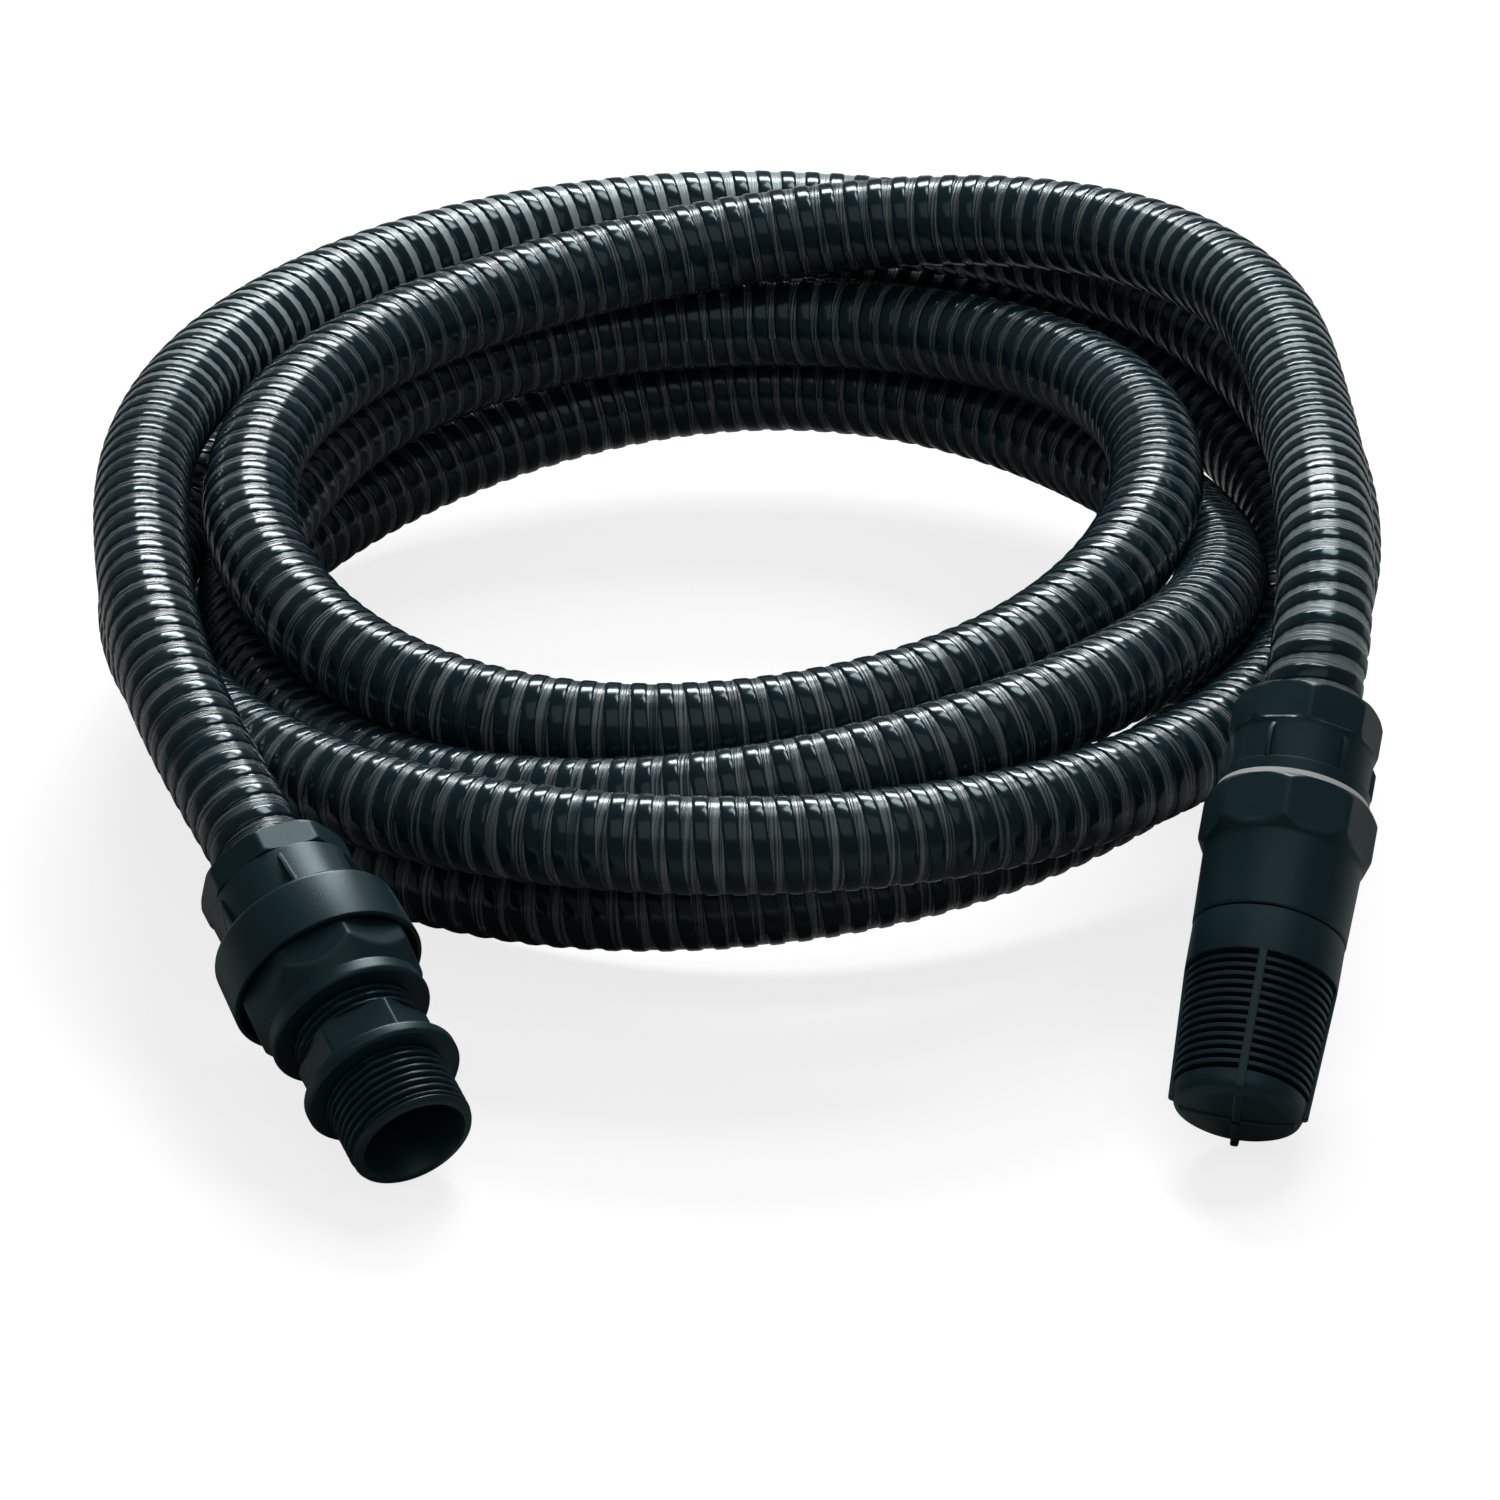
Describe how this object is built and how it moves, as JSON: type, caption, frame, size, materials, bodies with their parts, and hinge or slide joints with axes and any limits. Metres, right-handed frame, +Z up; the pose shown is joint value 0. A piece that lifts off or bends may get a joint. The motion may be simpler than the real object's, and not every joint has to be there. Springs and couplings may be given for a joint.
{
  "type": "coiled suction hose with pump connector and foot valve",
  "caption": "Coiled spiral suction hose with a threaded pump connector at one end and a strainer with a foot valve at the other.",
  "frame": {"origin": "on the floor, in the middle of the box that holds the two fittings", "axes": "+Z up; +X from the pump connector to the foot valve, along the row's longest side; +Y from the fittings back to the coil"},
  "size_m": [0.3639, 0.4446, 0.1215],
  "materials": {
    "hose": "glossy black spiral in a smoky translucent wall",
    "black_plastic": "satin moulded black",
    "white_plastic": "satin white",
    "grey_plastic": "satin grey",
    "black_rubber": "matte",
    "spring_steel": "bright drawn wire"
  },
  "bodies": {
    "hose": {"hose_coil": "hose", "hose_lead_pump": "hose", "hose_lead_foot": "hose", "pump_hose_seal": "black_rubber", "pump_body": "black_plastic", "foot_hose_seal": "black_rubber", "foot_washer": "white_plastic", "valve_body": "black_plastic", "valve_guide": "grey_plastic", "valve_spring": "spring_steel", "valve_seat": "grey_plastic"},
    "pump_nut_carriage": {"pump_grip_washer": "white_plastic"},
    "pump_nut": {"pump_clamp_nut": "black_plastic"},
    "adapter_carriage": {"adapter_gasket": "black_rubber"},
    "adapter": {"screw_adapter": "black_plastic"},
    "nipple_carriage": {"nipple_seal": "black_rubber"},
    "nipple": {"thread_nipple": "black_plastic"},
    "foot_nut_carriage": {"foot_grip_ring": "white_plastic"},
    "foot_nut": {"foot_clamp_nut": "black_plastic"},
    "poppet": {"valve_poppet": "grey_plastic", "poppet_facing": "black_rubber"},
    "strainer": {"strainer_basket": "black_plastic"}
  },
  "joints": [
    {"name": "pump_nut_travel", "type": "slide", "parent": "hose", "child": "pump_nut_carriage", "axis": [-0.4113, 0.836, 0.3633], "range_m": [0, 0.006]},
    {"name": "pump_nut_turn", "type": "hinge", "parent": "pump_nut_carriage", "child": "pump_nut", "pos_m": [-0.13391, 0.02408, 0.04985], "axis": [-0.4113, 0.836, 0.3633], "range_deg": [0, 1081]},
    {"name": "adapter_travel", "type": "slide", "parent": "hose", "child": "adapter_carriage", "axis": [0.4113, -0.836, -0.3633], "range_m": [0, 0.00462]},
    {"name": "adapter_turn", "type": "hinge", "parent": "adapter_carriage", "child": "adapter", "pos_m": [-0.12001, -0.00417, 0.03757], "axis": [0.4113, -0.836, -0.3633], "range_deg": [0, 721]},
    {"name": "nipple_travel", "type": "slide", "parent": "adapter", "child": "nipple_carriage", "axis": [0.4113, -0.836, -0.3633], "range_m": [0, 0.00924]},
    {"name": "nipple_turn", "type": "hinge", "parent": "nipple_carriage", "child": "nipple", "pos_m": [-0.10446, -0.03577, 0.02384], "axis": [0.4113, -0.836, -0.3633], "range_deg": [0, 1441]},
    {"name": "foot_nut_travel", "type": "slide", "parent": "hose", "child": "foot_nut_carriage", "axis": [0.1831, 0.7932, 0.5807], "range_m": [0, 0.006]},
    {"name": "foot_nut_turn", "type": "hinge", "parent": "foot_nut_carriage", "child": "foot_nut", "pos_m": [0.13469, 0.05178, 0.08184], "axis": [0.1831, 0.7932, 0.5807], "range_deg": [0, 721]},
    {"name": "valve_lift", "type": "slide", "parent": "hose", "child": "poppet", "axis": [0.1831, 0.7932, 0.5807], "range_m": [0, 0.006], "stiffness_N_per_m": 60, "springref_m": -0.003, "deforming": ["valve_spring"]},
    {"name": "strainer_pull", "type": "slide", "parent": "hose", "child": "strainer", "axis": [-0.1831, -0.7932, -0.5807], "range_m": [0, 0.012]}
  ],
  "couplings": [
    {"joint": "pump_nut_turn", "follows": "pump_nut_travel", "rad_per_m": 3141.6},
    {"joint": "adapter_turn", "follows": "adapter_travel", "rad_per_m": 2721.2},
    {"joint": "nipple_turn", "follows": "nipple_travel", "rad_per_m": 2721.2},
    {"joint": "foot_nut_turn", "follows": "foot_nut_travel", "rad_per_m": 2094.4}
  ]
}
